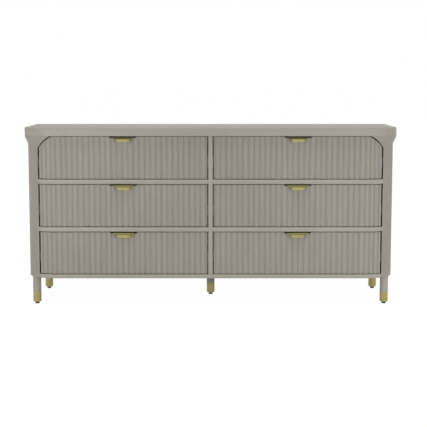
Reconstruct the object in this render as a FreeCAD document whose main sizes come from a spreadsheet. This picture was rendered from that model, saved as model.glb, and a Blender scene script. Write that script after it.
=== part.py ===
import FreeCAD, Part
import math
import os
import re

import Sketcher

# A wide dresser: two columns of three reeded drawers in a case with rounded front corners,
# on five round legs with brass ferrules. Sizes are in millimetres.
# X runs along the width, the front faces -Y and Z points up.
# The origin is on the floor under the middle of the top.

doc = FreeCAD.newDocument("dresser")
dim = doc.addObject("Spreadsheet::Sheet", "dim")

# The sizes that can be set by themselves
driving = [
    # whole object and top panel
    ("overall_width", "1711"),
    ("overall_depth", "508"),
    ("overall_height", "813"),
    ("top_thickness", "35"),
    ("top_overhang", "15"),
    ("top_edge_chamfer", "1.5"),
    # case
    ("corner_radius", "129"),
    ("case_lift", "128.5"),
    ("bottom_thickness", "18.5"),
    ("side_thickness", "18"),
    ("back_thickness", "6"),
    ("partition_thickness", "20"),
    ("rail_thickness", "21"),
    ("rail_depth", "90"),
    ("batten_height", "60"),
    # corner posts with their flared heads and the arches over the upper drawers
    ("post_face", "58"),
    ("post_thickness", "45"),
    ("post_turn_margin", "3"),
    ("flare_angle", "25"),
    ("flare_upper_radius", "30"),
    ("flare_lower_radius", "12"),
    ("arch_run", "60"),
    ("arch_drop", "56"),
    ("arch_bulge", "6.5"),
    # drawer fronts and their reeds
    ("front_thickness", "22"),
    ("front_setback", "1"),
    ("front_gap_above", "2.5"),
    ("front_gap_below", "3"),
    ("front_gap_partition", "4.5"),
    ("front_gap_post", "7"),
    ("front_gap_arch", "4"),
    ("reed_pitch", "25.15"),
    ("reed_depth", "6"),
    ("reed_radius", "16"),
    ("reed_land", "3"),
    ("groove_setback", "12.2"),
    ("bend_reed_pitch", "22.2"),
    # drawer boxes
    ("box_thickness", "13"),
    ("box_height", "125"),
    ("box_lift", "14"),
    ("box_back_drop", "12"),
    ("box_back_space", "20"),
    ("bottom_board", "6"),
    ("bottom_board_lift", "10"),
    ("board_clearance", "0.3"),
    # telescopic runners
    ("runner_height", "45"),
    ("runner_width", "12.7"),
    ("runner_sheet", "1.2"),
    ("runner_clearance", "0.4"),
    ("runner_length", "400"),
    ("runner_setback", "4"),
    ("runner_lift", "60"),
    # edge pulls
    ("pull_width", "94"),
    ("pull_foot_width", "66"),
    ("pull_height", "24.5"),
    ("pull_shoulder", "5"),
    ("pull_plate", "2.5"),
    ("pull_reach", "14"),
    ("pull_nose", "6"),
    ("pull_slope_drop", "9"),
    ("pull_flange", "18"),
    ("pull_bend", "4"),
    ("pull_notch_width", "122"),
    ("pull_notch_depth", "5"),
    # legs, ferrules, glides and bolts
    ("leg_diameter", "37.5"),
    ("leg_angle", "58.5"),
    ("leg_inset", "2.5"),
    ("rear_leg_inset", "37.5"),
    ("centre_leg_setback", "316"),
    ("ferrule_height", "55"),
    ("ferrule_wall", "1.5"),
    ("ferrule_floor", "8"),
    ("ferrule_chamfer", "8.5"),
    ("ferrule_chamfer_height", "6"),
    ("spigot_clearance", "0.3"),
    ("glide_diameter", "19"),
    ("glide_height", "5.5"),
    ("bolt_diameter", "8"),
    ("bolt_in_leg", "40"),
    ("bolt_in_case", "16"),
    ("bolt_clearance", "0.1"),
]

# Sizes that follow from the ones above
worked_out = [
    ("half_width", "=overall_width / 2"),
    ("back_y", "=overall_depth / 2"),
    ("top_base", "=overall_height - top_thickness"),
    ("top_radius", "=corner_radius + top_overhang"),
    ("case_half", "=half_width - top_overhang"),
    ("corner_x", "=case_half - corner_radius"),
    ("corner_y", "=top_radius - back_y"),
    ("side_inner", "=case_half - side_thickness"),
    ("back_face", "=back_y - back_thickness"),
    ("partition_half", "=partition_thickness / 2"),
    ("inner_span", "=corner_x - partition_half"),
    ("floor_top", "=case_lift + bottom_thickness"),
    ("opening_height", "=(top_base - floor_top - 2 * rail_thickness) / 3"),
    ("row_pitch", "=opening_height + rail_thickness"),
    # corner post, measured from the upright axis of the rounded corner
    ("post_edge", "=corner_radius - post_face"),
    ("post_edge_back", "=sqrt(corner_radius ^ 2 - post_edge ^ 2)"),
    ("post_inner_radius", "=corner_radius - post_thickness"),
    ("floor_radius", "=post_inner_radius - board_clearance"),
    ("floor_corner", "=sqrt(floor_radius ^ 2 - post_edge ^ 2)"),
    ("flare_bends", "=flare_upper_radius + flare_lower_radius"),
    ("flare_slope", "=(top_overhang - flare_bends * (1 - cos(flare_angle))) / sin(flare_angle)"),
    ("flare_height", "=flare_bends * sin(flare_angle) + flare_slope * cos(flare_angle)"),
    ("flare_base", "=top_base - flare_height"),
    ("flare_low_x", "=corner_radius + flare_lower_radius * (1 - cos(flare_angle))"),
    ("flare_low_z", "=flare_base + flare_lower_radius * sin(flare_angle)"),
    ("flare_high_x", "=top_radius - flare_upper_radius * (1 - cos(flare_angle))"),
    ("flare_high_z", "=top_base - flare_upper_radius * sin(flare_angle)"),
    # arch over the upper drawers, a circle seen from the front
    ("arch_tip", "=post_edge - arch_run"),
    ("arch_base", "=top_base - arch_drop"),
    ("arch_chord", "=sqrt(arch_run ^ 2 + arch_drop ^ 2)"),
    ("arch_radius", "=(arch_chord ^ 2 / 4 + arch_bulge ^ 2) / (2 * arch_bulge)"),
    ("arch_reach", "=(arch_radius - arch_bulge) / arch_chord"),
    ("arch_centre_x", "=post_edge - arch_run / 2 - arch_reach * arch_drop"),
    ("arch_centre_z", "=top_base - arch_drop / 2 - arch_reach * arch_run"),
    ("post_turn", "=acos(arch_tip / top_radius) / (1 deg) + post_turn_margin"),
    # drawer fronts
    ("front_height", "=opening_height - front_gap_above - front_gap_below"),
    ("face_radius", "=corner_radius - front_setback"),
    ("front_inner_radius", "=face_radius - front_thickness"),
    ("front_span", "=inner_span - front_gap_partition"),
    ("front_end", "=post_edge - front_gap_post"),
    ("front_end_back", "=sqrt(face_radius ^ 2 - front_end ^ 2)"),
    ("front_middle", "=(front_end - front_span) / 2"),
    ("arch_front_radius", "=arch_radius - front_gap_arch"),
    ("groove_half", "=(reed_pitch - reed_land) / 2"),
    # drawer boxes, in the frame of the corner axis
    ("box_outer", "=post_edge - runner_width"),
    ("box_outer_inside", "=box_outer - box_thickness"),
    ("box_near", "=runner_width - inner_span"),
    ("box_near_inside", "=box_near + box_thickness"),
    ("seat_back", "=sqrt(front_inner_radius ^ 2 - box_outer ^ 2)"),
    ("seat_step", "=sqrt(front_inner_radius ^ 2 - box_outer_inside ^ 2)"),
    ("box_back", "=back_face - box_back_space - corner_y"),
    ("bottom_radius", "=front_inner_radius - board_clearance"),
    ("bottom_corner", "=sqrt(bottom_radius ^ 2 - box_outer_inside ^ 2)"),
    # runners
    ("runner_step", "=runner_sheet + runner_clearance"),
    ("runner_far", "=runner_width - runner_step"),
    ("runner_front", "=corner_y - seat_back + runner_setback"),
    ("runner_wall", "=corner_x + post_edge"),
    # pulls
    ("pull_slope", "=atan(pull_slope_drop / (pull_reach - pull_nose)) / (1 deg)"),
    ("pull_upper_corner", "=pull_plate * tan(pull_slope / 2)"),
    ("pull_lower_corner", "=pull_plate * tan(45 - pull_slope / 2)"),
    # legs
    ("leg_radius", "=leg_diameter / 2"),
    ("leg_reach", "=corner_radius - leg_radius - leg_inset"),
    ("leg_out", "=leg_reach * sin(leg_angle)"),
    ("leg_forward", "=leg_reach * cos(leg_angle)"),
    ("front_leg_y", "=corner_y - leg_forward"),
    ("leg_x", "=corner_x + leg_out"),
    ("rear_leg_y", "=back_y - rear_leg_inset"),
    ("centre_leg_y", "=centre_leg_setback - back_y"),
    ("cup_radius", "=leg_radius - ferrule_wall"),
    ("spigot_radius", "=cup_radius - spigot_clearance"),
    ("cup_base", "=glide_height + ferrule_floor"),
    ("bolt_radius", "=bolt_diameter / 2"),
    ("bore_radius", "=bolt_radius + bolt_clearance"),
]

aliases = set()
for row, (alias, text) in enumerate(driving + worked_out, start=1):
    dim.set(f"A{row}", alias)
    dim.set(f"B{row}", text)
    dim.setAlias(f"B{row}", alias)
    aliases.add(alias)
doc.recompute()

nodes = []
edge_tolerance = 0.01
place = ["Placement.Base.x", "Placement.Base.y", "Placement.Base.z"]
box_sizes = ["Length", "Width", "Height"]


def reference(word):
    # A name of the sheet as a reference to it, and any other word as it is
    return "dim." + word.group() if word.group() in aliases else word.group()


def linked(formula):
    return re.sub(r"[a-z_]+", reference, formula)


def amount(formula):
    # The present value of a formula in the sheet's names
    return float(dim.evalExpression(formula))


def bind(piece, properties, formulas):
    # Ties properties of a piece to formulas in the sheet's names
    for name, formula in zip(properties, formulas):
        piece.setExpression(name, linked(formula))


def keep(piece):
    # Marks a finished piece, whose label names its file
    nodes.append(piece)
    return piece


def board(label, corner, size):
    # A plain board from its lowest corner and its size along X, Y and Z
    piece = doc.addObject("Part::Box", label)
    bind(piece, box_sizes, size)
    bind(piece, place, corner)
    return piece


def rod(label, foot, radius, height):
    # An upright round rod from the middle of its foot
    piece = doc.addObject("Part::Cylinder", label)
    bind(piece, ["Radius", "Height"], [radius, height])
    bind(piece, place, foot)
    return piece


def cut(label, base, tool):
    piece = doc.addObject("Part::Cut", label)
    piece.Base = base
    piece.Tool = tool
    return piece


def group(label, members):
    # Separate solids that share one node
    piece = doc.addObject("Part::Compound", label)
    piece.Links = members
    return piece


def mirrored(label, source):
    # The left-hand twin of a right-hand piece
    piece = doc.addObject("Part::Mirroring", label)
    piece.Source = source
    piece.Normal = FreeCAD.Vector(1, 0, 0)
    return piece


def new_body(label, origin):
    body = doc.addObject("PartDesign::Body", label)
    bind(body, place, origin)
    return body


def origin_feature(body, role):
    return next(feature for feature in body.Origin.OriginFeatures if feature.Role == role)


def new_sketch(body, role):
    sketch = body.newObject("Sketcher::SketchObject", body.Name + "_sketch")
    sketch.AttachmentSupport = (origin_feature(body, role), [""])
    sketch.MapMode = "FlatFace"
    return sketch


def arc_edge(start, end, radius):
    # Arc shorter than a half circle from start to end, with its centre on the left of the way there
    chord = end - start
    left = FreeCAD.Vector(-chord.y, chord.x, 0).normalize()
    centre = (start + end) / 2 + left * math.sqrt(radius ** 2 - chord.Length ** 2 / 4)
    circle = Part.Circle(centre, FreeCAD.Vector(0, 0, 1), radius)
    begin = math.atan2(start.y - centre.y, start.x - centre.x)
    finish = math.atan2(end.y - centre.y, end.x - centre.x)
    return Part.ArcOfCircle(circle, begin, finish)


def outline(body, role, corners):
    # A closed outline on an origin plane. Each corner is two formulas, and a third one gives the radius
    # of an arc to the next corner. A minus sign puts the arc's centre on the right of the way there.
    sketch = new_sketch(body, role)
    points = [FreeCAD.Vector(amount(corner[0]), amount(corner[1]), 0) for corner in corners]
    starts = []
    ends = []
    for index, corner in enumerate(corners):
        here = points[index]
        following = points[(index + 1) % len(points)]
        start_end = (1, 2)
        if len(corner) == 2:
            sketch.addGeometry(Part.LineSegment(here, following))
        elif corner[2].startswith("-"):
            sketch.addGeometry(arc_edge(following, here, amount(corner[2][1:])))
            start_end = (2, 1)
        else:
            sketch.addGeometry(arc_edge(here, following, amount(corner[2])))
        starts.append(start_end[0])
        ends.append(start_end[1])
    for index, corner in enumerate(corners):
        after = (index + 1) % len(corners)
        sketch.addConstraint(Sketcher.Constraint("Coincident", index, ends[index], after, starts[after]))
        for kind, formula, value in zip(("DistanceX", "DistanceY"), corner, points[index]):
            number = sketch.addConstraint(Sketcher.Constraint(kind, -1, 1, index, starts[index], value))
            sketch.setExpression(f"Constraints[{number}]", linked(formula))
        if len(corner) == 3:
            radius = corner[2].lstrip("-")
            number = sketch.addConstraint(Sketcher.Constraint("Radius", index, amount(radius)))
            sketch.setExpression(f"Constraints[{number}]", linked(radius))
    return sketch


def pad(body, sketch, length, side="One side", turned=False):
    feature = body.newObject("PartDesign::Pad", body.Name + "_pad")
    feature.Profile = sketch
    feature.SideType = side
    feature.Reversed = turned
    bind(feature, ["Length"], [length])
    doc.recompute()
    return feature


def pocket(body, sketch, side="Symmetric", turned=False):
    # Cuts right through and makes sure that something was cut
    before = body.Shape.Volume
    feature = body.newObject("PartDesign::Pocket", body.Name + "_pocket")
    feature.Profile = sketch
    feature.Type = "ThroughAll"
    feature.SideType = side
    feature.Reversed = turned
    doc.recompute()
    if body.Shape.Volume >= before:
        raise RuntimeError(feature.Name + " cuts nothing")
    return feature


def revolve(body, sketch, angle, turned=False):
    # Turns a profile on the XZ plane about the upright axis
    feature = body.newObject("PartDesign::Revolution", body.Name + "_revolve")
    feature.Profile = sketch
    feature.ReferenceAxis = (sketch, ["V_Axis"])
    feature.Reversed = turned
    bind(feature, ["Angle"], [angle])
    doc.recompute()
    return feature


def ease_edges(body, base, kind, size, wanted):
    # Rounds or chamfers the edges of the base feature whose bounding box passes the test
    names = []
    for index, edge in enumerate(base.Shape.Edges, start=1):
        if wanted(edge.BoundBox):
            names.append(f"Edge{index}")
    feature = body.newObject("PartDesign::" + kind, body.Name + "_eased")
    feature.Base = (base, names)
    bind(feature, [{"Fillet": "Radius", "Chamfer": "Size"}[kind]], [size])
    doc.recompute()
    return feature


# Top panel
top_panel = keep(new_body("top_panel", ["0", "0", "top_base"]))
top_outline = outline(top_panel, "XY_Plane", [
    ("top_radius - half_width", "-back_y"),
    ("half_width - top_radius", "-back_y", "top_radius"),
    ("half_width", "top_radius - back_y"),
    ("half_width", "back_y"),
    ("-half_width", "back_y"),
    ("-half_width", "top_radius - back_y", "top_radius"),
])
top_slab = pad(top_panel, top_outline, "top_thickness")
slab_top = amount("top_thickness")
ease_edges(top_panel, top_slab, "Chamfer", "top_edge_chamfer", lambda box: box.ZMin > slab_top / 2)


def flared_section(body, inner):
    # Upright section of a post or side, from its inner face out to the flare that carries the top
    return outline(body, "XZ_Plane", [
        (inner, "case_lift"),
        ("corner_radius", "case_lift"),
        ("corner_radius", "flare_base", "-flare_lower_radius"),
        ("flare_low_x", "flare_low_z"),
        ("flare_high_x", "flare_high_z", "flare_upper_radius"),
        ("top_radius", "top_base"),
        (inner, "top_base"),
    ])


# Front corner post: the section is turned about the corner axis, and the arch is cut from the front
post = new_body("post_blank", ["corner_x", "corner_y", "0"])
revolve(post, flared_section(post, "post_inner_radius"), "post_turn", turned=True)
arch_cut = outline(post, "XZ_Plane", [
    ("post_edge", "0"),
    ("post_edge", "arch_base", "arch_radius"),
    ("arch_tip", "top_base"),
    ("arch_tip", "overall_height"),
    ("-top_radius", "overall_height"),
    ("-top_radius", "0"),
])
pocket(post, arch_cut)
post_bore = rod("post_bore", ["leg_x", "front_leg_y", "case_lift"], "bore_radius", "bolt_in_case")
right_post = keep(cut("right_front_post", post, post_bore))
keep(mirrored("left_front_post", right_post))

# Side panel, which carries the flare on to the back
right_side = keep(new_body("right_side_panel", ["corner_x", "corner_y", "0"]))
side_section = flared_section(right_side, "corner_radius - side_thickness")
pad(right_side, side_section, "back_y - corner_y", turned=True)
keep(mirrored("left_side_panel", right_side))

# Bottom panel, fitted round the posts and bored for the bolts of the rear and centre legs
floor = new_body("floor_blank", ["0", "0", "case_lift"])
floor_outline = outline(floor, "XY_Plane", [
    ("-corner_x", "corner_y - corner_radius"),
    ("corner_x", "corner_y - corner_radius", "corner_radius"),
    ("corner_x + post_edge", "corner_y - post_edge_back"),
    ("corner_x + post_edge", "corner_y - floor_corner", "floor_radius"),
    ("corner_x + floor_radius", "corner_y"),
    ("side_inner", "corner_y"),
    ("side_inner", "back_face"),
    ("-side_inner", "back_face"),
    ("-side_inner", "corner_y"),
    ("-corner_x - floor_radius", "corner_y", "floor_radius"),
    ("-corner_x - post_edge", "corner_y - floor_corner"),
    ("-corner_x - post_edge", "corner_y - post_edge_back", "corner_radius"),
])
pad(floor, floor_outline, "bottom_thickness")
panel_legs = [("leg_x", "rear_leg_y"), ("-leg_x", "rear_leg_y"), ("0", "centre_leg_y")]
floor_bores = []
for number, (x, y) in enumerate(panel_legs):
    floor_bores.append(rod(f"floor_bore_{number}", [x, y, "case_lift"], "bore_radius", "bolt_in_case"))
keep(cut("bottom_panel", floor, group("floor_bores", floor_bores)))

# Centre partition, whose front edge is the stile between the drawers, and back panel
keep(board("centre_partition",
           ["-partition_half", "corner_y - corner_radius", "floor_top"],
           ["partition_thickness", "back_face - corner_y + corner_radius", "top_base - floor_top"]))
keep(board("back_panel",
           ["-side_inner", "back_face", "case_lift"],
           ["2 * side_inner", "back_thickness", "top_base - case_lift"]))

# Drawer rails, bent round the corner as far as the post
for name, rows_below in (("upper", 2), ("lower", 1)):
    rail_base = f"floor_top + {rows_below} * row_pitch - rail_thickness"
    rail = keep(new_body(name + "_right_rail", ["corner_x", "corner_y", rail_base]))
    rail_outline = outline(rail, "XY_Plane", [
        ("-inner_span", "-corner_radius"),
        ("0", "-corner_radius", "corner_radius"),
        ("post_edge", "-post_edge_back"),
        ("post_edge", "rail_depth - corner_radius"),
        ("-inner_span", "rail_depth - corner_radius"),
    ])
    pad(rail, rail_outline, "rail_thickness")
    keep(mirrored(name + "_left_rail", rail))


def channel(label, wall, inward, near, far, height, web, level):
    # One runner member: a channel whose web stands on its near or far side, counted from the wall
    low = {1: f"{wall} + {near}", -1: f"{wall} - {far}"}[inward]
    open_side = 1 if web == "far" else -1
    shift = "runner_sheet" if open_side * inward < 0 else "-runner_sheet"
    size = [f"{far} - {near}", "runner_length", height]
    blank = board(label + "_blank", [low, "runner_front", f"{level} - ({height}) / 2"], size)
    hollow = board(label + "_hollow",
                   [f"{low} + {shift}", "runner_front", f"{level} - ({height}) / 2 + runner_sheet"],
                   [size[0], size[1], f"{height} - 2 * runner_sheet"])
    return cut(label, blank, hollow)


def runner_pair(label, near, far, height, web, level):
    # The same member on the partition and on the post side of one drawer
    return [channel(label + "_near", "partition_half", 1, near, far, height, web, level),
            channel(label + "_outer", "runner_wall", -1, near, far, height, web, level)]


def drawer_front(label, base, arched):
    # Bowed slab with a seat for the outer side, and grooves between round reeds on the flat and round the corner
    front = new_body(label, ["corner_x", "corner_y", f"{base} + front_gap_below"])
    plan = outline(front, "XY_Plane", [
        ("-front_span", "-face_radius"),
        ("0", "-face_radius", "face_radius"),
        ("front_end", "-front_end_back"),
        ("front_end", "-seat_back"),
        ("box_outer_inside", "-seat_back"),
        ("box_outer_inside", "-seat_step", "-front_inner_radius"),
        ("0", "-front_inner_radius"),
        ("-front_span", "-front_inner_radius"),
    ])
    pad(front, plan, "front_height")
    groove_plan = outline(front, "XY_Plane", [
        ("-groove_setback - groove_half", "-face_radius", "reed_radius"),
        ("-groove_setback", "reed_depth - face_radius", "reed_radius"),
        ("groove_half - groove_setback", "-face_radius"),
        ("groove_half - groove_setback", "-face_radius - reed_depth"),
        ("-groove_setback - groove_half", "-face_radius - reed_depth"),
    ])
    groove = pocket(front, groove_plan, "One side", True)

    flat_count = math.floor(amount("(front_span - groove_setback + groove_half) / reed_pitch")) + 1
    flat = front.newObject("PartDesign::LinearPattern", front.Name + "_flat_grooves")
    flat.Originals = [groove]
    flat.Direction = (origin_feature(front, "X_Axis"), [""])
    flat.Reversed = True
    flat.Occurrences = flat_count
    bind(flat, ["Length"], [f"reed_pitch * {flat_count - 1}"])
    front.Tip = flat

    end_angle = "asin(front_end / face_radius) / (1 deg)"
    step_angle = "bend_reed_pitch / face_radius * 180 / pi"
    bent_count = math.floor(amount(f"{end_angle} / ({step_angle}) + groove_setback / bend_reed_pitch")) + 1
    bent = front.newObject("PartDesign::PolarPattern", front.Name + "_bent_grooves")
    bent.Originals = [groove]
    bent.Axis = (origin_feature(front, "Z_Axis"), [""])
    bent.Occurrences = bent_count
    bind(bent, ["Angle"], [f"{step_angle} * {bent_count - 1}"])
    front.Tip = bent
    doc.recompute()

    notch = outline(front, "XZ_Plane", [
        ("front_middle - pull_notch_width / 2", "front_height - pull_notch_depth"),
        ("front_middle + pull_notch_width / 2", "front_height - pull_notch_depth"),
        ("front_middle + pull_notch_width / 2", "opening_height"),
        ("front_middle - pull_notch_width / 2", "opening_height"),
    ])
    pocket(front, notch)
    if arched:
        drop = f"arch_centre_z - ({base}) - front_gap_below"
        corner = outline(front, "XZ_Plane", [
            ("arch_centre_x + arch_front_radius", drop, "arch_front_radius"),
            ("arch_centre_x", drop + " + arch_front_radius"),
            ("arch_centre_x", drop + " + 2 * arch_radius"),
            ("arch_centre_x + 2 * arch_radius", drop + " + 2 * arch_radius"),
            ("arch_centre_x + 2 * arch_radius", drop),
        ])
        pocket(front, corner)
    return front


def drawer_box(label, base):
    # Two sides and a back. The outer side seats on the end of the front, the near side on its flat.
    low = f"{base} + box_lift"
    box_end = "corner_y + box_back"
    near = board(label + "_near", ["corner_x + box_near", "corner_y - front_inner_radius", low],
                 ["box_thickness", "box_back + front_inner_radius", "box_height"])
    outer = board(label + "_outer", ["corner_x + box_outer_inside", "corner_y - seat_back", low],
                  ["box_thickness", "box_back + seat_back", "box_height"])
    back = board(label + "_back",
                 ["corner_x + box_near_inside", box_end + " - box_thickness", low + " + bottom_board_lift"],
                 ["box_outer_inside - box_near_inside", "box_thickness",
                  "box_height - bottom_board_lift - box_back_drop"])
    return group(label, [near, outer, back])


def drawer_bottom(label, base):
    # Thin board between the sides, bent at the outer front corner to follow the front
    bottom = new_body(label, ["corner_x", "corner_y", f"{base} + box_lift + bottom_board_lift"])
    plan = outline(bottom, "XY_Plane", [
        ("box_near_inside", "-bottom_radius"),
        ("0", "-bottom_radius", "bottom_radius"),
        ("box_outer_inside", "-bottom_corner"),
        ("box_outer_inside", "box_back - box_thickness"),
        ("box_near_inside", "box_back - box_thickness"),
    ])
    pad(bottom, plan, "bottom_board")
    return bottom


def bend_test(low_y, low_z, high_y, high_z):
    # A test for the two edges across a pull that pass through the points given
    low = (amount(low_y), amount(low_z))
    high = (amount(high_y), amount(high_z))

    def wanted(box):
        here = (box.YMin, box.ZMin)
        away = min(math.dist(here, low), math.dist(here, high))
        return away + box.YLength + box.ZLength < edge_tolerance

    return wanted


def edge_pull(label, base):
    # Bent brass plate: a flange in the notch, a sloped nose and an upright lip that tapers downwards
    origin = ["corner_x + front_middle", "corner_y - face_radius",
              f"{base} + front_gap_below + front_height - pull_notch_depth"]
    strip = new_body(label + "_strip", origin)
    section = outline(strip, "YZ_Plane", [
        ("pull_flange", "0"),
        ("pull_flange", "pull_plate"),
        ("-pull_nose", "pull_plate"),
        ("-pull_reach", "pull_plate - pull_slope_drop"),
        ("-pull_reach", "pull_plate - pull_height"),
        ("pull_plate - pull_reach", "pull_plate - pull_height"),
        ("pull_plate - pull_reach", "pull_plate - pull_slope_drop - pull_lower_corner"),
        ("pull_upper_corner - pull_nose", "0"),
    ])
    plate = pad(strip, section, "pull_width", "Symmetric")
    outside = bend_test("-pull_reach", "pull_plate - pull_slope_drop", "-pull_nose", "pull_plate")
    outer_bend = ease_edges(strip, plate, "Fillet", "pull_bend", outside)
    inside = bend_test("pull_plate - pull_reach", "pull_plate - pull_slope_drop - pull_lower_corner",
                       "pull_upper_corner - pull_nose", "0")
    ease_edges(strip, outer_bend, "Fillet", "pull_bend - pull_plate", inside)
    taper = new_body(label + "_taper", origin)
    front_view = outline(taper, "XZ_Plane", [
        ("-pull_width / 2", "pull_plate"),
        ("-pull_width / 2", "pull_plate - pull_shoulder"),
        ("-pull_foot_width / 2", "pull_plate - pull_height"),
        ("pull_foot_width / 2", "pull_plate - pull_height"),
        ("pull_width / 2", "pull_plate - pull_shoulder"),
        ("pull_width / 2", "pull_plate"),
    ])
    pad(taper, front_view, "2 * (pull_flange + pull_reach)", "Symmetric")
    pull = doc.addObject("Part::Common", label)
    pull.Base = strip
    pull.Tool = taper
    return pull


# Drawers, from the lowest row up, with the runners and the battens that carry them
outer_members = []
battens = []
for row, row_name in enumerate(("lower", "middle", "upper")):
    base = f"floor_top + {row} * row_pitch"
    level = f"{base} + box_lift + runner_lift"
    name = row_name + "_right_"
    pieces = {
        "drawer_front": drawer_front(name + "drawer_front", base, row_name == "upper"),
        "drawer_box": drawer_box(name + "drawer_box", base),
        "drawer_bottom": drawer_bottom(name + "drawer_bottom", base),
        "pull": edge_pull(name + "pull", base),
    }
    inner = runner_pair(name + "inner", "2 * runner_step", "runner_width",
                        "runner_height - 4 * runner_step", "far", level)
    middle = runner_pair(name + "middle", "runner_step", "runner_far",
                         "runner_height - 2 * runner_step", "near", level)
    pieces["runner_inner"] = group(name + "runner_inner", inner)
    pieces["runner_middle"] = group(name + "runner_middle", middle)
    outer_members += runner_pair(name + "outer", "0", "runner_far", "runner_height", "near", level)
    battens.append(board(name + "batten", ["runner_wall", "corner_y", f"{level} - batten_height / 2"],
                         ["side_inner - runner_wall", "back_face - corner_y", "batten_height"]))
    for kind, piece in pieces.items():
        keep(piece)
        keep(mirrored(row_name + "_left_" + kind, piece))

right_battens = keep(group("right_runner_battens", battens))
keep(mirrored("left_runner_battens", right_battens))
right_members = group("right_outer_members", outer_members)
keep(group("runner_outer_members", [right_members, mirrored("left_outer_members", right_members)]))

# Legs with a turned spigot in a brass cup, a glide under each and a bolt up into the case
leg_places = {
    "front_right_leg": ("leg_x", "front_leg_y"),
    "front_left_leg": ("-leg_x", "front_leg_y"),
    "rear_right_leg": ("leg_x", "rear_leg_y"),
    "rear_left_leg": ("-leg_x", "rear_leg_y"),
    "centre_leg": ("0", "centre_leg_y"),
}
ferrules = []
glides = []
bolts = []
for name, (x, y) in leg_places.items():
    leg = keep(new_body(name, [x, y, "0"]))
    turning = outline(leg, "XZ_Plane", [
        ("0", "cup_base"),
        ("spigot_radius", "cup_base"),
        ("spigot_radius", "ferrule_height"),
        ("leg_radius", "ferrule_height"),
        ("leg_radius", "case_lift"),
        ("bore_radius", "case_lift"),
        ("bore_radius", "case_lift - bolt_in_leg"),
        ("0", "case_lift - bolt_in_leg"),
    ])
    revolve(leg, turning, "360")
    ferrule = new_body(name + "_ferrule", [x, y, "0"])
    cup = outline(ferrule, "XZ_Plane", [
        ("0", "glide_height"),
        ("leg_radius - ferrule_chamfer", "glide_height"),
        ("leg_radius", "glide_height + ferrule_chamfer_height"),
        ("leg_radius", "ferrule_height"),
        ("cup_radius", "ferrule_height"),
        ("cup_radius", "cup_base"),
        ("0", "cup_base"),
    ])
    revolve(ferrule, cup, "360")
    ferrules.append(ferrule)
    glides.append(rod(name + "_glide", [x, y, "0"], "glide_diameter / 2", "glide_height"))
    bolts.append(rod(name + "_bolt", [x, y, "case_lift - bolt_in_leg"],
                     "bolt_radius", "bolt_in_leg + bolt_in_case"))
keep(group("leg_ferrules", ferrules))
keep(group("leg_glides", glides))
keep(group("leg_bolts", bolts))

# Nothing is written unless every piece came out whole
doc.recompute()
for piece in doc.Objects:
    if "Invalid" in piece.State or "Error" in piece.State:
        raise RuntimeError(f"{piece.Label} failed: {piece.State}")
for node in nodes:
    if node.Shape.isNull() or not node.Shape.isValid() or not node.Shape.Solids:
        raise RuntimeError(f"{node.Label} has no valid solid")

os.makedirs("parts", exist_ok=True)
for node in nodes:
    node.Shape.exportStep(f"parts/{node.Label}.step")
print(len(nodes), "nodes written")
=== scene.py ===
import math

import bpy
import numpy as np
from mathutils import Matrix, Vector


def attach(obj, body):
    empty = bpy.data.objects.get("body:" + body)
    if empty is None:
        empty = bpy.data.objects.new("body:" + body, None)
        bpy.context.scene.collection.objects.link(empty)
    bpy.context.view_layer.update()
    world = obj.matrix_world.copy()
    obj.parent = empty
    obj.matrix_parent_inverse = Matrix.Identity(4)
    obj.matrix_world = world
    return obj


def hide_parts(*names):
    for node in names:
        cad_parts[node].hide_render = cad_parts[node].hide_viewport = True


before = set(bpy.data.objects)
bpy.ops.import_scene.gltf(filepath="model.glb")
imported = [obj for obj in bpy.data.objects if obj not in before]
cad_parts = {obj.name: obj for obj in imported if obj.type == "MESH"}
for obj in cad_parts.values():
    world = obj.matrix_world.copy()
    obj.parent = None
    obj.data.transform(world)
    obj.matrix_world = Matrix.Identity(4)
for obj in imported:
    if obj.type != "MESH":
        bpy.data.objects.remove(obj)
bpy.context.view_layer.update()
print("frame loaded:", len(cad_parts), "nodes")

# the case, in metres: the corner axis is the upright centre line of the rounded right front corner
case = dict(
    cornerX=0.7115, cornerY=-0.110, cornerRadius=0.129,
    lift=0.1285, topBase=0.778, backFace=0.248, backY=0.254,
    sideThickness=0.018, partitionHalf=0.010, rowBase=0.147, railThickness=0.021,
    edgeSoft=0.0015, fit=0.0003,
)
rows = dict(lower=0, middle=1, upper=2)
hands = dict(right=1, left=-1)
cornerAxis = (case["cornerX"], case["cornerY"])
frontY = case["cornerY"] - case["cornerRadius"]
sideInner = case["cornerX"] + case["cornerRadius"] - case["sideThickness"]
railsInAll = (len(rows) - 1) * case["railThickness"]
openingHeight = (case["topBase"] - case["rowBase"] - railsInAll) / len(rows)
rowPitch = openingHeight + case["railThickness"]

# shared by the pieces: the angles round a rounded edge, and the bevel that softens some of them
quarterTurn = np.linspace(0, math.pi / 2, 5)
softEdges = dict(segments=2, angle=math.radians(50))


def gridFaces(count, width):
    # quads between neighbouring rings of a grid, with the last column joined to the first
    ring = np.arange(count - 1)[:, None] * width
    column = np.arange(width)[None, :]
    after = (column + 1) % width
    quads = np.stack([ring + column, ring + after, ring + width + after, ring + width + column], axis=-1)
    return quads.reshape(-1, 4).tolist()


def closedRings(rings, flip=False):
    # rings of points joined by quads and closed at both ends, with the faces turned round when flipped
    count, width = rings.shape[:2]
    faces = gridFaces(count, width)
    faces.append(list(range(width))[::-1])
    faces.append(list(range((count - 1) * width, count * width)))
    if flip:
        faces = [face[::-1] for face in faces]
    return rings.reshape(-1, 3), faces


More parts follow.
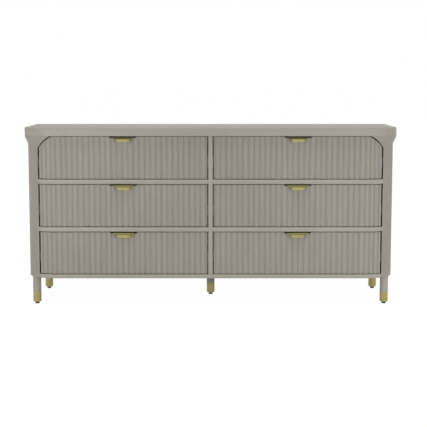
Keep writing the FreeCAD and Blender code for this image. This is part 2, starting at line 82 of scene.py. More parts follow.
def makePiece(name, parts, body, finish, nodes, sharp=38, soften=0.0):
    # joins the parts, each a pair of points and faces, into one mesh that stands for the CAD nodes
    points = np.concatenate([part[0] for part in parts])
    offsets = np.cumsum([0] + [len(part[0]) for part in parts])
    faces = [[corner + offset for corner in face] for part, offset in zip(parts, offsets) for face in part[1]]
    mesh = bpy.data.meshes.new(name)
    mesh.from_pydata(points.tolist(), [], faces)
    mesh.polygons.foreach_set("use_smooth", np.ones(len(mesh.polygons), dtype=bool))
    mesh.set_sharp_from_angle(angle=math.radians(sharp))
    mesh.materials.append(finish)
    mesh.validate()
    piece = bpy.data.objects.new(name, mesh)
    bpy.context.scene.collection.objects.link(piece)
    if soften:
        bevel = piece.modifiers.new("softEdges", "BEVEL")
        bevel.width = soften
        bevel.segments = softEdges["segments"]
        bevel.limit_method = "ANGLE"
        bevel.angle_limit = softEdges["angle"]
        bevel.harden_normals = True
    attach(piece, body)
    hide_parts(*nodes)
    return piece


def handed(part, hand):
    # the part itself on the right; on the left X changes sign, and each face turns round to keep pointing
    # outwards
    if hand > 0:
        return part
    return part[0] * np.array([-1, 1, 1]), [face[::-1] for face in part[1]]


def bothHalves(right):
    # an outline whose left half mirrors the right one
    return np.concatenate([right, right[::-1] * np.array([-1, 1])])


def arcPoints(centre, radius, start, end, count):
    # points on a circle, with angles in degrees from +X towards +Y
    angle = np.radians(np.linspace(start, end, count))
    return np.stack([centre[0] + radius * np.cos(angle), centre[1] + radius * np.sin(angle)], axis=-1)


def inwardMitres(outline):
    # for each corner of an anticlockwise outline, the move that shifts both its edges inwards by one unit
    ahead = np.roll(outline, -1, axis=0) - outline
    ahead /= np.linalg.norm(ahead, axis=1)[:, None]
    normal = np.stack([-ahead[:, 1], ahead[:, 0]], axis=-1)
    before = np.roll(normal, 1, axis=0)
    return (normal + before) / (1 + np.sum(normal * before, axis=1))[:, None]


def roundedSlab(outline, low, high, lowRound, highRound):
    # an outline carried upwards; near each end the ring shrinks along a quarter circle, so the edge is round
    rising = 1 - np.cos(quarterTurn)
    falling = 1 - np.sin(quarterTurn)
    inset = np.concatenate([lowRound * falling, highRound * rising])
    level = np.concatenate([low + lowRound * rising, high - highRound * falling])
    ring = outline[None] + inset[:, None, None] * inwardMitres(outline)[None]
    height = np.broadcast_to(level[:, None, None], ring.shape[:2] + (1,))
    return closedRings(np.concatenate([ring, height], axis=-1))


def softRectangle(lowX, highX, lowY, highY, radius, steps=4):
    # anticlockwise rectangle with quarter-circle corners
    return np.concatenate([
        arcPoints((highX - radius, lowY + radius), radius, -90, 0, steps),
        arcPoints((highX - radius, highY - radius), radius, 0, 90, steps),
        arcPoints((lowX + radius, highY - radius), radius, 90, 180, steps),
        arcPoints((lowX + radius, lowY + radius), radius, 180, 270, steps),
    ])


def softBoard(low, high, radius):
    # a board with all its edges eased by the same radius
    outline = softRectangle(low[0], high[0], low[1], high[1], radius)
    return roundedSlab(outline, low[2], high[2], radius, radius)


def turned(radii, levels, centre, around=64):
    # a profile of radii and heights turned about an upright axis, with a flat face at each end
    angle = np.linspace(0, 2 * math.pi, around, endpoint=False)
    x = centre[0] + radii[:, None] * np.cos(angle)
    y = centre[1] + radii[:, None] * np.sin(angle)
    z = np.broadcast_to(levels[:, None], x.shape)
    return closedRings(np.stack([x, y, z], axis=-1))


class Value:
    # one output socket of a shader tree, so that maths on it reads as Python
    def __init__(self, finish, socket):
        self.finish = finish
        self.socket = socket

    def maths(self, operation, first, second):
        return self.finish.node("ShaderNodeMath", dict(operation=operation), {0: first, 1: second})

    def __add__(self, other):
        return self.maths("ADD", self, other)

    def __radd__(self, other):
        return self.maths("ADD", other, self)

    def __mul__(self, other):
        return self.maths("MULTIPLY", self, other)

    def __rmul__(self, other):
        return self.maths("MULTIPLY", other, self)


class Finish:
    # the shader tree of a material or of the world, whose nodes are added by one method
    def __init__(self, owner):
        owner.use_nodes = True
        self.owner = owner
        self.tree = owner.node_tree

    def node(self, kind, settings, sockets, output=0):
        made = self.tree.nodes.new(kind)
        for key, value in settings.items():
            setattr(made, key, value)
        for key, value in sockets.items():
            self.feed(made.inputs[key], value)
        return Value(self, made.outputs[output])

    def feed(self, socket, value):
        if isinstance(value, Value):
            self.tree.links.new(value.socket, socket)
        else:
            socket.default_value = value

    def noise(self, scale, detail=4.0, rough=0.55):
        # object coordinates are scaled by axis, so that the pattern runs along the axis with the small number
        place = self.node("ShaderNodeTexCoord", {}, {}, "Object")
        place = self.node("ShaderNodeMapping", {}, {"Vector": place, "Scale": tuple(scale)})
        sockets = {"Vector": place, "Scale": 1.0, "Detail": detail, "Roughness": rough}
        return self.node("ShaderNodeTexNoise", {}, sockets)

    def ramp(self, value, low, high):
        # 0 below low, 1 above high
        sockets = {"Value": value, "From Min": low, "From Max": high}
        return self.node("ShaderNodeMapRange", dict(clamp=True), sockets)

    def mix(self, share, first, second):
        # sockets 6 and 7 are the two colours, and output 2 is the mixed one
        sockets = {"Factor": share, 6: first, 7: second}
        return self.node("ShaderNodeMix", dict(data_type="RGBA"), sockets, 2)

    def bump(self, height, strength, distance):
        sockets = {"Height": height, "Strength": strength, "Distance": distance}
        return self.node("ShaderNodeBump", {}, sockets)

    def set(self, **sockets):
        names = dict(colour="Base Color", roughness="Roughness", metallic="Metallic", normal="Normal",
                     specular="Specular IOR Level")
        for key, value in sockets.items():
            self.feed(self.tree.nodes["Principled BSDF"].inputs[names[key]], value)
        return self.owner

    def seenBy(self, kind):
        # 1 for what a ray of this kind meets, such as a camera ray or a glossy ray, and 0 for other light
        return self.node("ShaderNodeLightPath", {}, {}, f"Is {kind} Ray")


def newFinish(name):
    return Finish(bpy.data.materials.new(name))


def toned(colour, tone=1.0):
    # a colour made lighter or darker, with its alpha
    return tuple(tone * part for part in colour) + (1,)


def blend(share, first, second):
    # this share of the first value, and the rest of the second
    return share * first + (1 - share) * second


def grainScale(settings, along):
    # fine across the grain and stretched along one axis
    scale = np.full(3, settings["across"])
    scale[along] = settings["along"]
    return scale


# satin greige paint over wood
paint = dict(pale=(0.384, 0.362, 0.311), deep=(0.324, 0.303, 0.256), roughness=0.44, roughDrift=0.12,
             sheen=0.22, across=70.0, along=2.2, poreScale=5, driftScale=1.7, streakShare=0.62,
             figure=(0.30, 0.70), pores=(0.42, 0.62), streakRelief=0.6, relief=(0.12, 0.0006))


def paintedFinish(name, along, tone=1.0):
    # grain streaks run along one axis, with slow tone drift and fine pores
    finish = newFinish(name)
    grain = grainScale(paint, along)
    streaks = finish.noise(grain, detail=5.0, rough=0.6)
    pores = finish.noise(grain * paint["poreScale"], detail=2.0, rough=0.5)
    drift = finish.noise(np.full(3, paint["driftScale"]), detail=2.0)
    figure = finish.ramp(blend(paint["streakShare"], streaks, drift), *paint["figure"])
    lines = finish.ramp(pores, *paint["pores"])
    # a tone below 1 gives a darker copy of the paint, which carries painted shade
    colour = finish.mix(figure, toned(paint["deep"], tone), toned(paint["pale"], tone))
    relief = finish.bump(blend(paint["streakRelief"], streaks, lines), *paint["relief"])
    roughness = paint["roughness"] + paint["roughDrift"] * drift
    return finish.set(colour=colour, roughness=roughness, normal=relief, specular=paint["sheen"])


# lacquered timber and painted board
timber = dict(across=26.0, along=1.1, poreScale=12, bandShare=0.8, figure=(0.34, 0.66), roughBands=0.10,
              relief=(0.10, 0.0004))


def timberFinish(name, along, pale, deep, roughness):
    # bands stretched along the grain, crossed with short pores
    finish = newFinish(name)
    grain = grainScale(timber, along)
    bands = finish.noise(grain, detail=6.0, rough=0.62)
    pores = finish.noise(grain * timber["poreScale"], detail=2.0, rough=0.5)
    figure = finish.ramp(blend(timber["bandShare"], bands, pores), *timber["figure"])
    colour = finish.mix(figure, toned(deep), toned(pale))
    relief = finish.bump(pores, *timber["relief"])
    return finish.set(colour=colour, roughness=roughness + timber["roughBands"] * bands, normal=relief)


# brushed metal, with the darker tone that its painted shade takes
metal = dict(cloudScale=22.0, lineShare=0.6, tone=(0.30, 0.70), shadeTone=0.45, roughClouds=0.12,
             relief=(0.10, 0.0002))


def metalFinish(name, pale, deep, roughness, brush, metallic):
    # fine lines in the direction of the brush, faint cloudy handling marks, and painted shade: a darker tone
    # where the piece's own shade attribute is high
    finish = newFinish(name)
    lines = finish.noise(brush, detail=3.0, rough=0.65)
    clouds = finish.noise(np.full(3, metal["cloudScale"]), detail=3.0)
    paintedShade = finish.node("ShaderNodeAttribute", dict(attribute_name="paintedShade"), {}, "Fac")
    tone = finish.ramp(blend(metal["lineShare"], lines, clouds), *metal["tone"])
    clean = finish.mix(tone, toned(deep), toned(pale))
    # painted shade: the attribute mixes in a darker copy of the deep colour
    colour = finish.mix(paintedShade, clean, toned(deep, metal["shadeTone"]))
    relief = finish.bump(lines, *metal["relief"])
    cloudy = roughness + metal["roughClouds"] * clouds
    return finish.set(colour=colour, metallic=metallic, roughness=cloudy, normal=relief)


# moulded plastic
plastic = dict(colour=(0.018, 0.018, 0.018), paleTone=1.5, grainScale=900.0, roughness=0.5, roughGrain=0.15,
               relief=(0.15, 0.0002))


def mouldedFinish(name):
    # one dark colour with a fine even grain
    finish = newFinish(name)
    grain = finish.noise(np.full(3, plastic["grainScale"]), detail=2.0)
    colour = finish.mix(grain, toned(plastic["colour"]), toned(plastic["colour"], plastic["paleTone"]))
    relief = finish.bump(grain, *plastic["relief"])
    roughness = plastic["roughness"] + plastic["roughGrain"] * grain
    return finish.set(colour=colour, roughness=roughness, normal=relief)


grainX, grainY, grainZ = range(3)
railPaint = paintedFinish("greigePaintAlongX", grainX)
uprightPaint = paintedFinish("greigePaintUpright", grainZ)
# darker copies of the paint: painted shade on the top, the posts and the sides, and on the reeded fronts
# painted shade together with a deeper tone of their own
shadedTopPaint = paintedFinish("greigePaintTopShaded", grainX, tone=0.97)
shadedFrontPaint = paintedFinish("greigePaintFrontsShaded", grainZ, tone=0.87)
boxTimber = timberFinish("drawerBoxTimber", grainY, pale=(0.62, 0.47, 0.30), deep=(0.47, 0.33, 0.19),
                         roughness=0.45)
bottomPly = timberFinish("drawerBottomPly", grainX, pale=(0.66, 0.54, 0.37), deep=(0.55, 0.43, 0.28),
                         roughness=0.5)
backBoard = timberFinish("backBoardPaint", grainX, pale=(0.30, 0.285, 0.245), deep=(0.25, 0.238, 0.204),
                         roughness=0.6)
brass = metalFinish("brushedBrass", pale=(0.49, 0.440, 0.190), deep=(0.36, 0.316, 0.126), roughness=0.36,
                    brush=(9, 9, 1300), metallic=0.8)
zinc = metalFinish("zincSteel", pale=(0.62, 0.63, 0.65), deep=(0.50, 0.51, 0.53), roughness=0.32,
                   brush=(900, 6, 900), metallic=1.0)
glidePlastic = mouldedFinish("glidePlastic")
print("finishes made:", len(bpy.data.materials))

# top panel
top = dict(overhang=0.015, height=0.813, edgeRound=0.0015, underRound=0.0005, backRound=0.002,
           cornerSteps=49, backSteps=4)
topRadius = case["cornerRadius"] + top["overhang"]
topCorner = arcPoints(cornerAxis, topRadius, -90, 0, top["cornerSteps"])
topBackAxis = (case["cornerX"] + topRadius - top["backRound"], case["backY"] - top["backRound"])
topBackCorner = arcPoints(topBackAxis, top["backRound"], 0, 90, top["backSteps"])
topOutline = bothHalves(np.concatenate([topCorner, topBackCorner]))
topSlab = roundedSlab(topOutline, case["topBase"], top["height"], top["underRound"], top["edgeRound"])
makePiece("topPanel", [topSlab], "case", shadedTopPaint, ["top_panel"])

# corner posts and sides: the section flares outwards under the top
post = dict(edge=0.071, thickness=0.045, flareAngle=math.radians(25), upperRadius=0.030, lowerRadius=0.012,
            archRun=0.060, archDrop=0.056, archBulge=0.0065, shaftRings=6, headRings=45, turnSteps=49,
            edgeSoft=0.0012, sideSoft=0.0006)
flareSin = math.sin(post["flareAngle"])
flareCos = math.cos(post["flareAngle"])
bendSum = post["upperRadius"] + post["lowerRadius"]
flareSlope = (top["overhang"] - bendSum * (1 - flareCos)) / flareSin
flareBase = case["topBase"] - bendSum * flareSin - flareSlope * flareCos
archBase = case["topBase"] - post["archDrop"]
archChord = math.hypot(post["archRun"], post["archDrop"])
archRadius = (archChord ** 2 / 4 + post["archBulge"] ** 2) / (2 * post["archBulge"])
archReach = (archRadius - post["archBulge"]) / archChord
archX = post["edge"] - post["archRun"] / 2 - archReach * post["archDrop"]
archZ = case["topBase"] - post["archDrop"] / 2 - archReach * post["archRun"]


def flareRadius(level):
    # outer radius by height: straight, then a concave arc, a slope and a convex arc that ends upright
    lowEnd = flareBase + post["lowerRadius"] * flareSin
    highStart = case["topBase"] - post["upperRadius"] * flareSin
    lowCurve = np.sqrt(np.maximum(post["lowerRadius"] ** 2 - (level - flareBase) ** 2, 0))
    highCurve = np.sqrt(np.maximum(post["upperRadius"] ** 2 - (case["topBase"] - level) ** 2, 0))
    lowRadius = case["cornerRadius"] + post["lowerRadius"]
    slopeStart = lowRadius - post["lowerRadius"] * flareCos
    slope = slopeStart + (level - lowEnd) * math.tan(post["flareAngle"])
    radius = np.where(level < flareBase, case["cornerRadius"], lowRadius - lowCurve)
    radius = np.where(level > lowEnd, slope, radius)
    return np.where(level > highStart, topRadius - post["upperRadius"] + highCurve, radius)


def postLevels():
    # heights of the rings: few on the straight shaft, many through the flare and the arch
    shaft = np.linspace(case["lift"], archBase, post["shaftRings"], endpoint=False)
    return np.concatenate([shaft, np.linspace(archBase, case["topBase"], post["headRings"])])


def cornerPost():
    # at each height the plan is an outer and an inner arc, cut off at the arch's distance from the corner
    # axis
    level = postLevels()
    radius = flareRadius(level)
    inner = np.full_like(radius, case["cornerRadius"] - post["thickness"])
    arch = archX + np.sqrt(np.maximum(archRadius ** 2 - (level - archZ) ** 2, 0))
    edge = np.where(level < archBase, post["edge"], np.minimum(arch, post["edge"]))
    share = np.linspace(0, 1, post["turnSteps"])
    innerShare = share[::2]
    outerTurn = np.arcsin(edge / radius)[:, None] * (1 - share) + math.pi / 2 * share
    innerTurn = np.arcsin(edge / inner)[:, None] * innerShare + math.pi / 2 * (1 - innerShare)
    x = np.concatenate([radius[:, None] * np.sin(outerTurn), inner[:, None] * np.sin(innerTurn)], axis=1)
    y = np.concatenate([radius[:, None] * np.cos(outerTurn), inner[:, None] * np.cos(innerTurn)], axis=1)
    z = np.broadcast_to(level[:, None], x.shape)
    return closedRings(np.stack([case["cornerX"] + x, case["cornerY"] - y, z], axis=-1))


def sidePanel():
    # the flared section carried straight back from the corner axis
    level = postLevels()
    outer = np.stack([case["cornerX"] + flareRadius(level), level], axis=-1)
    section = np.concatenate([outer, [[sideInner, case["topBase"]], [sideInner, case["lift"]]]])
    run = np.array([case["cornerY"], case["backY"]])
    x = np.broadcast_to(section[:, 0], (len(run), len(section)))
    y = np.broadcast_to(run[:, None], x.shape)
    z = np.broadcast_to(section[:, 1], x.shape)
    return closedRings(np.stack([x, y, z], axis=-1), flip=True)


for handName, hand in hands.items():
    makePiece(handName + "Post", [handed(cornerPost(), hand)], "case", shadedFrontPaint,
              [handName + "_front_post"], soften=post["edgeSoft"])
    makePiece(handName + "Side", [handed(sidePanel(), hand)], "case", shadedFrontPaint,
              [handName + "_side_panel"], soften=post["sideSoft"])
print("top, posts and sides made")

# bottom panel, partition and rails
rail = dict(depth=0.090, edgeRound=0.003, cornerSteps=25, fitSteps=12)
postTurn = math.degrees(math.asin(post["edge"] / case["cornerRadius"]))
cornerArc = arcPoints(cornerAxis, case["cornerRadius"], -90, postTurn - 90, rail["cornerSteps"])
bottomRadius = case["cornerRadius"] - post["thickness"] - case["fit"]
bottomTurn = math.degrees(math.asin(post["edge"] / bottomRadius))
bottomArc = arcPoints(cornerAxis, bottomRadius, bottomTurn - 90, 0, rail["fitSteps"])
bottomBack = np.array([[sideInner, case["cornerY"]], [sideInner, case["backFace"]]])
bottomOutline = bothHalves(np.concatenate([cornerArc, bottomArc, bottomBack]))
bottomSlab = roundedSlab(bottomOutline, case["lift"], case["rowBase"], rail["edgeRound"], case["edgeSoft"])
makePiece("bottomPanel", [bottomSlab], "case", railPaint, ["bottom_panel"])

partition = softBoard((-case["partitionHalf"], frontY, case["rowBase"]),
                      (case["partitionHalf"], case["backFace"], case["topBase"]), case["edgeSoft"])
makePiece("centrePartition", [partition], "case", uprightPaint, ["centre_partition"])

railBack = frontY + rail["depth"]
railInner = np.array([[case["cornerX"] + post["edge"], railBack],
                      [case["partitionHalf"], railBack],
                      [case["partitionHalf"], frontY]])
railOutline = np.concatenate([cornerArc, railInner])
for levelName, rowsBelow in (("upper", 2), ("lower", 1)):
    railTop = case["rowBase"] + rowsBelow * rowPitch
    railBase = railTop - case["railThickness"]
    railSlab = roundedSlab(railOutline, railBase, railTop, rail["edgeRound"], case["edgeSoft"])
    for handName, hand in hands.items():
        makePiece(levelName + handName.title() + "Rail", [handed(railSlab, hand)], "case", railPaint,
                  [f"{levelName}_{handName}_rail"])
print("bottom, partition and rails made")

# reeded drawer fronts
front = dict(thickness=0.022, setback=0.001, gapAbove=0.0025, gapBelow=0.003, gapPartition=0.0045,
             gapPost=0.007, gapArch=0.004, pitch=0.02515, bendPitch=0.0222, depth=0.006, reedRadius=0.016,
             land=0.003, grooveSetback=0.0122, grooveSoft=0.0003, reedSteps=18, depthTries=4,
             notchWidth=0.122, notchDepth=0.005, notchStep=0.0000061, edgeRound=0.0012, sharp=50)
faceRadius = case["cornerRadius"] - front["setback"]
backRadius = faceRadius - front["thickness"]
frontSpan = case["cornerX"] - case["partitionHalf"] - front["gapPartition"]
frontEnd = post["edge"] - front["gapPost"]
faceTurn = math.asin(frontEnd / faceRadius)
backTurn = math.asin(frontEnd / backRadius)
frontHeight = openingHeight - front["gapAbove"] - front["gapBelow"]
frontMiddle = (frontEnd - frontSpan) / 2
grooveHalf = (front["pitch"] - front["land"]) / 2
bendStep = front["bendPitch"] / faceRadius
bendStart = math.atan2(front["grooveSetback"], faceRadius - front["depth"])


def frontStations():
    # distances along the face from the start of the bend, closer together towards each groove; grooves past
    # both ends are added first and clipped away
    flat = -front["grooveSetback"] - front["pitch"] * np.arange(frontSpan // front["pitch"] + 2)[::-1]
    bend = faceRadius * (bendStep * np.arange(1, faceTurn // bendStep + 3) - bendStart)
    grooves = np.concatenate([flat, bend])
    within = (1 + np.sin(math.pi / 2 * np.linspace(-1, 1, front["reedSteps"], endpoint=False))) / 2
    reeds = grooves[:-1, None] + np.diff(grooves)[:, None] * within
    notchEnds = frontMiddle + front["notchWidth"] / 2 * np.array([-1, 1])
    notch = np.concatenate([notchEnds - front["notchStep"], notchEnds + front["notchStep"]])
    ends = [-frontSpan, 0, faceRadius * faceTurn]
    run = np.concatenate([reeds.ravel(), notch, ends])
    return np.unique(np.clip(run, -frontSpan, faceRadius * faceTurn))


def grooveDepth(away):
    # depth at a distance from the middle of a groove: circular flanks from the land down to a soft bottom
    chord = math.hypot(grooveHalf, front["depth"])
    lift = math.sqrt(front["reedRadius"] ** 2 - chord ** 2 / 4) / chord
    axisAway = grooveHalf / 2 + lift * front["depth"]
    axisDepth = front["depth"] / 2 + lift * grooveHalf
    soft = np.sqrt(away ** 2 + front["grooveSoft"] ** 2)
    flank = axisDepth - np.sqrt(np.maximum(front["reedRadius"] ** 2 - (soft - axisAway) ** 2, 0))
    return np.where(soft < grooveHalf, flank, 0)


def reedDepth(run):
    # along the flat the grooves repeat at the pitch; round the bend the first one is turned about the corner
    # axis, and the depth is taken towards that axis, in a few tries since it depends on itself
    offset = run + front["grooveSetback"] + front["pitch"] / 2
    flat = grooveDepth(offset % front["pitch"] - front["pitch"] / 2)
    turn = run / faceRadius
    turn = turn - bendStep * np.maximum(np.round((turn + bendStart) / bendStep), 1)
    bend = np.zeros_like(run)
    for step in range(front["depthTries"]):
        plane = grooveDepth((faceRadius - bend) * np.sin(turn) + front["grooveSetback"])
        bend = np.maximum(faceRadius - (faceRadius - plane) / np.cos(turn), 0)
    return np.where(run < 0, flat, bend)


def frontTop(x, base, arched):
    # height of the top edge over a place along X: level, lower in the pull's notch, and round under the arch
    level = base + front["gapBelow"] + frontHeight
    notched = np.abs(x - frontMiddle) < front["notchWidth"] / 2
    edge = np.where(notched, level - front["notchDepth"], level)
    if arched:
        radius = archRadius - front["gapArch"]
        arch = archZ + np.sqrt(np.maximum(radius ** 2 - (x - archX) ** 2, 0))
        edge = np.where(x > archX, np.minimum(edge, arch), edge)
    return edge


def reededFront(base, arched):
    # a section with rounded front edges carried along the flat and round the bend, set back by the grooves
    run = frontStations()
    bend = np.maximum(run, 0) / (faceRadius * faceTurn)
    flat = np.minimum(run, 0)
    faceBend = bend * faceTurn
    backBend = bend * backTurn
    face = np.stack([flat + faceRadius * np.sin(faceBend), -faceRadius * np.cos(faceBend)], axis=-1)
    back = np.stack([flat + backRadius * np.sin(backBend), -backRadius * np.cos(backBend)], axis=-1)
    reach = np.linalg.norm(back - face, axis=1)[:, None]
    inward = (back - face) / reach

    steps = len(quarterTurn)
    arcIn = front["edgeRound"] * (1 - np.sin(quarterTurn))
    arcUp = front["edgeRound"] * (1 - np.cos(quarterTurn))
    groove = reedDepth(run)[:, None]
    inset = np.concatenate([groove + arcIn, groove + arcIn[::-1], reach, reach], axis=1)
    plan = face[:, None, :] + inset[..., None] * inward[:, None, :]
    low = base + front["gapBelow"]
    high = frontTop(plan[..., 0], base, arched)
    z = np.concatenate([np.broadcast_to(low + arcUp, (len(run), steps)),
                        high[:, steps:2 * steps] - arcUp[::-1],
                        high[:, -2:-1], np.full((len(run), 1), low)], axis=1)
    rings = np.concatenate([plan + np.array(cornerAxis), z[..., None]], axis=-1)
    return closedRings(rings, flip=True)


# bent brass pulls, let into the notch, with painted shade on the slope and towards both ends
pull = dict(width=0.094, lipWidth=0.060, height=0.0215, shoulder=0.003, taperEnd=0.0105, plate=0.0025,
            reach=0.014, nose=0.006, slopeDrop=0.010, flange=0.018, bend=0.004, step=0.001, columns=9,
            edgeSoft=0.0004, slopeShade=0.8, shadeFrom=0.2, shadeTo=0.95, shadeFade=0.15,
            endShade=0.2, endFrom=0.6)


def bentPath(corners, radii, steps=7):
    # a path of straight runs whose inner corners are arcs; the tangent length is radius times tan(turn / 2)
    corners = np.array(corners)
    share = np.linspace(0, 1, steps)[:, None]
    parts = [corners[:1]]
    for before, here, after, radius in zip(corners, corners[1:], corners[2:], radii):
        arriving = (here - before) / np.linalg.norm(here - before)
        leaving = (after - here) / np.linalg.norm(after - here)
        inside = (leaving - arriving) / np.linalg.norm(leaving - arriving)
        turn = math.acos(np.clip(arriving @ leaving, -1, 1))
        tangent = radius * math.tan(turn / 2)
        start = here - arriving * tangent
        end = here + leaving * tangent
        middle = here + inside * radius / math.cos(turn / 2)
        spread = (1 - share) * (start - middle) + share * (end - middle)
        parts.append(middle + spread / np.linalg.norm(spread, axis=1)[:, None] * radius)
    parts.append(corners[-1:])
    return np.concatenate(parts)


def finer(path, step):
    # the same path with points added on the runs that are longer than the step
    lengths = np.linalg.norm(np.diff(path, axis=0), axis=1)
    shares = [np.linspace(0, 1, math.ceil(length / step), endpoint=False)[:, None] for length in lengths]
    runs = [start + share * (end - start) for start, end, share in zip(path, path[1:], shares)]
    return np.concatenate(runs + [path[-1:]])


def pullSection():
    # closed section of the bent plate: how far it lies behind the drawer's face, and its height over the
    # notch
    plate = pull["plate"]
    slope = math.atan2(pull["slopeDrop"], pull["reach"] - pull["nose"])
    upper = plate * math.tan(slope / 2)
    lower = plate * math.tan(math.pi / 4 - slope / 2)
    foot = plate - pull["height"]
    lip = plate - pull["slopeDrop"]
    outer = bentPath([(pull["flange"], plate), (-pull["nose"], plate), (-pull["reach"], lip),
                      (-pull["reach"], foot)], [pull["bend"]] * 2)
    inner = bentPath([(plate - pull["reach"], foot), (plate - pull["reach"], lip - lower),
                      (upper - pull["nose"], 0), (pull["flange"], 0)], [pull["bend"] - plate] * 2)
    return np.concatenate([finer(outer, pull["step"]), inner])


def edgePull(base):
    # the section carried across X; the half width narrows from the shoulder to the top of the lip
    section = pullSection()
    depth = pull["plate"] - section[:, 1]
    below = np.clip((depth - pull["shoulder"]) / (pull["taperEnd"] - pull["shoulder"]), 0, 1)
    half = (pull["width"] + (pull["lipWidth"] - pull["width"]) * below) / 2
    across = np.linspace(-1, 1, pull["columns"])
    notchBase = base + front["gapBelow"] + frontHeight - front["notchDepth"]
    x = case["cornerX"] + frontMiddle + across[:, None] * half[None, :]
    y = np.broadcast_to(case["cornerY"] - faceRadius + section[None, :, 0], x.shape)
    z = np.broadcast_to(notchBase + section[None, :, 1], x.shape)

    # painted shade lies in the slope between the nose and the lip, and thinly towards both ends
    down = np.clip((-pull["nose"] - section[:, 0]) / (pull["reach"] - pull["nose"]), 0, 1)
    within = np.minimum(down - pull["shadeFrom"], pull["shadeTo"] - down)
    slopes = np.clip(within / pull["shadeFade"], 0, 1)
    ends = np.clip((np.abs(across) - pull["endFrom"]) / (1 - pull["endFrom"]), 0, 1)
    paintedShade = np.maximum(pull["slopeShade"] * slopes[None, :], pull["endShade"] * ends[:, None])
    return closedRings(np.stack([x, y, z], axis=-1)), paintedShade.ravel()


# drawer boxes behind the fronts
box = dict(thickness=0.013, height=0.125, lift=0.014, backDrop=0.012, backSpace=0.020, bottomLift=0.010,
           runnerWidth=0.0127, edgeRound=0.0015)


def drawerBox(base):
    # two sides and a back as eased boards
    near = case["partitionHalf"] + box["runnerWidth"]
    outer = case["cornerX"] + post["edge"] - box["runnerWidth"]
    seat = case["cornerY"] - math.sqrt(backRadius ** 2 - (outer - case["cornerX"]) ** 2)
    low = base + box["lift"]
    high = low + box["height"]
    end = case["backFace"] - box["backSpace"]
    wall = box["thickness"]
    return [
        softBoard((near, case["cornerY"] - backRadius, low), (near + wall, end, high), box["edgeRound"]),
        softBoard((outer - wall, seat, low), (outer, end, high), box["edgeRound"]),
        softBoard((near + wall, end - wall, low + box["bottomLift"]),
                  (outer - wall, end, high - box["backDrop"]), box["edgeRound"]),
    ]


for rowName, row in rows.items():
    base = case["rowBase"] + row * rowPitch
    frontPart = reededFront(base, rowName == "upper")
    pullPart, paintedShade = edgePull(base)
    boxParts = drawerBox(base)
    for handName, hand in hands.items():
        node = f"{rowName}_{handName}_"
        body = node + "drawer"
        name = rowName + handName.title()
        makePiece(name + "Front", [handed(frontPart, hand)], body, shadedFrontPaint,
                  [node + "drawer_front"], sharp=front["sharp"])
        piece = makePiece(name + "Pull", [handed(pullPart, hand)], body, brass, [node + "pull"],
                          soften=pull["edgeSoft"])
        # the painted shade goes on as a point attribute, read by the brass finish
        piece.data.attributes.new("paintedShade", "FLOAT", "POINT").data.foreach_set("value", paintedShade)
        makePiece(name + "Box", [handed(part, hand) for part in boxParts], body, boxTimber,
                  [node + "drawer_box"])
print("drawers made")

# legs in brass ferrules, on black glides
leg = dict(radius=0.01875, inset=0.0025, angle=math.radians(58.5), rearY=0.2165, centreY=0.062, ease=0.0006,
           ferruleHeight=0.055, chamfer=0.0085, chamferHeight=0.006, chamferSteps=9, glideHeight=0.0055)
legReach = case["cornerRadius"] - leg["radius"] - leg["inset"]
legX = case["cornerX"] + legReach * math.sin(leg["angle"])
legFrontY = case["cornerY"] - legReach * math.cos(leg["angle"])
legPlaces = dict(front_right_leg=(legX, legFrontY), front_left_leg=(-legX, legFrontY),
                 rear_right_leg=(legX, leg["rearY"]), rear_left_leg=(-legX, leg["rearY"]),
                 centre_leg=(0.0, leg["centreY"]))


def turnedLeg(centre):
    # plain round shaft with an eased lower rim over the ferrule
    radii = leg["radius"] - leg["ease"] * (1 - np.sin(quarterTurn))
    levels = leg["ferruleHeight"] + leg["ease"] * (1 - np.cos(quarterTurn))
    return turned(np.append(radii, leg["radius"]), np.append(levels, case["lift"]), centre)


def turnedFerrule(centre):
    # chamfered foot under a straight wall with an eased upper rim
    foot = np.linspace(0, 1, leg["chamferSteps"])
    radii = np.concatenate([leg["radius"] - leg["chamfer"] * (1 - foot),
                            leg["radius"] - leg["ease"] * (1 - np.cos(quarterTurn))])
    levels = np.concatenate([leg["glideHeight"] + leg["chamferHeight"] * foot,
                             leg["ferruleHeight"] - leg["ease"] * (1 - np.sin(quarterTurn))])
    return turned(radii, levels, centre)


for node, centre in legPlaces.items():
    first, *others = node.split("_")
    name = first + "".join(word.title() for word in others)
    makePiece(name, [turnedLeg(centre)], "case", uprightPaint, [node])
makePiece("legFerrules", [turnedFerrule(centre) for centre in legPlaces.values()], "case", brass,
          ["leg_ferrules"])
print("legs made")

# CAD nodes that stay as they are, with their finishes
keptFinishes = dict(back_panel=backBoard, leg_glides=glidePlastic, leg_bolts=zinc, runner_outer_members=zinc,
                    left_runner_battens=boxTimber, right_runner_battens=boxTimber)
for rowName in rows:
    for handName in hands:
        node = f"{rowName}_{handName}_"
        keptFinishes[node + "drawer_bottom"] = bottomPly
        keptFinishes[node + "runner_inner"] = zinc
        keptFinishes[node + "runner_middle"] = zinc
for node, finish in keptFinishes.items():
    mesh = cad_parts[node].data
    mesh.materials.clear()
    mesh.materials.append(finish)
print("finishes on kept nodes:", len(keptFinishes))

# studio: a pale floor, a white room with little light of its own, and soft lamps at both sides, overhead and
# behind
studio = dict(floorSize=40.0, floorGrey=0.82, floorRoughness=0.9, floorShare=0.94, floorMirror=0.45,
              floorGlow=1.04, floorNear=1.0, floorFar=2.6, roomLight=0.08, target=(0.0, 0.0, 0.4))
lamps = [dict(name="topLamp", place=(0.0, -0.6, 4.2), size=(4.0, 2.0), power=84.0),
         dict(name="backLamp", place=(0.0, 4.6, 1.8), size=(3.0, 1.5), power=70.0)]
for hand in hands.values():
    lamps.append(dict(name="sideLamp", place=(3.3 * hand, -3.9, 0.85), size=(1.2, 1.5), power=33.0))
    lamps.append(dict(name="stripLamp", place=(1.9 * hand, -2.0, 0.75), size=(0.6, 1.3), power=22.0))
white = (1, 1, 1, 1)


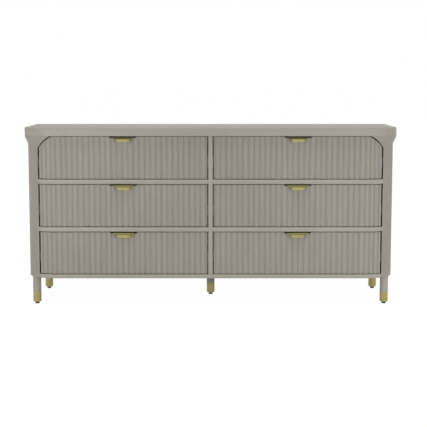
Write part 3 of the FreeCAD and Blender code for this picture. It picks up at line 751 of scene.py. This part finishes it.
def studioFloor():
    # a plane that looks white to the camera, and far away wholly so, while a faint shadow still falls on it;
    # reflections show more of its true light near the object
    half = studio["floorSize"] / 2
    corners = [(-half, -half, 0), (half, -half, 0), (half, half, 0), (-half, half, 0)]
    mesh = bpy.data.meshes.new("studioFloor")
    mesh.from_pydata(corners, [], [(0, 1, 2, 3)])
    floor = bpy.data.objects.new("studioFloor", mesh)
    bpy.context.scene.collection.objects.link(floor)
    finish = newFinish("studioFloorPaint")
    finish.set(colour=toned(white[:3], studio["floorGrey"]), roughness=studio["floorRoughness"], specular=0.0)
    glow = finish.node("ShaderNodeEmission", {}, {"Color": white, "Strength": studio["floorGlow"]})
    plain = Value(finish, finish.tree.nodes["Principled BSDF"].outputs["BSDF"])
    place = finish.node("ShaderNodeTexCoord", {}, {}, "Object")
    distance = finish.node("ShaderNodeVectorMath", dict(operation="LENGTH"), {0: place}, "Value")
    far = finish.ramp(distance, studio["floorNear"], studio["floorFar"])
    seen = blend(studio["floorShare"], 1, far)
    mirrored = blend(studio["floorMirror"], 1, far)
    share = finish.seenBy("Camera") * seen + finish.seenBy("Glossy") * mirrored
    mixed = finish.node("ShaderNodeMixShader", {}, {0: share, 1: plain, 2: glow})
    finish.feed(finish.tree.nodes["Material Output"].inputs["Surface"], mixed)
    mesh.materials.append(finish.owner)


def studioRoom():
    # white for the camera and for reflections, and an even soft light for everything else
    room = Finish(bpy.data.worlds.new("studioRoom"))
    background = room.tree.nodes["Background"].inputs
    room.feed(background["Color"], white)
    plain = room.seenBy("Camera") + room.seenBy("Glossy")
    room.feed(background["Strength"], blend(studio["roomLight"], 1, plain))
    bpy.context.scene.world = room.owner


def studioLamp(settings):
    lamp = bpy.data.lights.new(settings["name"], "AREA")
    lamp.shape = "RECTANGLE"
    lamp.size, lamp.size_y = settings["size"]
    lamp.energy = settings["power"]
    holder = bpy.data.objects.new(settings["name"], lamp)
    bpy.context.scene.collection.objects.link(holder)
    holder.location = settings["place"]
    direction = Vector(studio["target"]) - Vector(settings["place"])
    holder.rotation_euler = direction.to_track_quat("-Z", "Y").to_euler()
    holder.visible_glossy = False  # metal reflects the white room instead


# camera fitted to the photograph: focal length in pixels of a 427-pixel picture, tilt in degrees
camera = dict(place=(0.0137, -5.3142, 1.0351), tilt=6.83, focalPixels=1126.9, picturePixels=427, sensor=36.0)


def studioCamera():
    data = bpy.data.cameras.new("photoCamera")
    data.sensor_width = camera["sensor"]
    data.lens = camera["sensor"] * camera["focalPixels"] / camera["picturePixels"]
    holder = bpy.data.objects.new("photoCamera", data)
    bpy.context.scene.collection.objects.link(holder)
    holder.location = camera["place"]
    holder.rotation_euler = (math.radians(90 - camera["tilt"]), 0, 0)
    bpy.context.scene.camera = holder


studioFloor()
studioRoom()
for settings in lamps:
    studioLamp(settings)
studioCamera()
bpy.context.scene.view_settings.view_transform = "Standard"
print("studio ready")
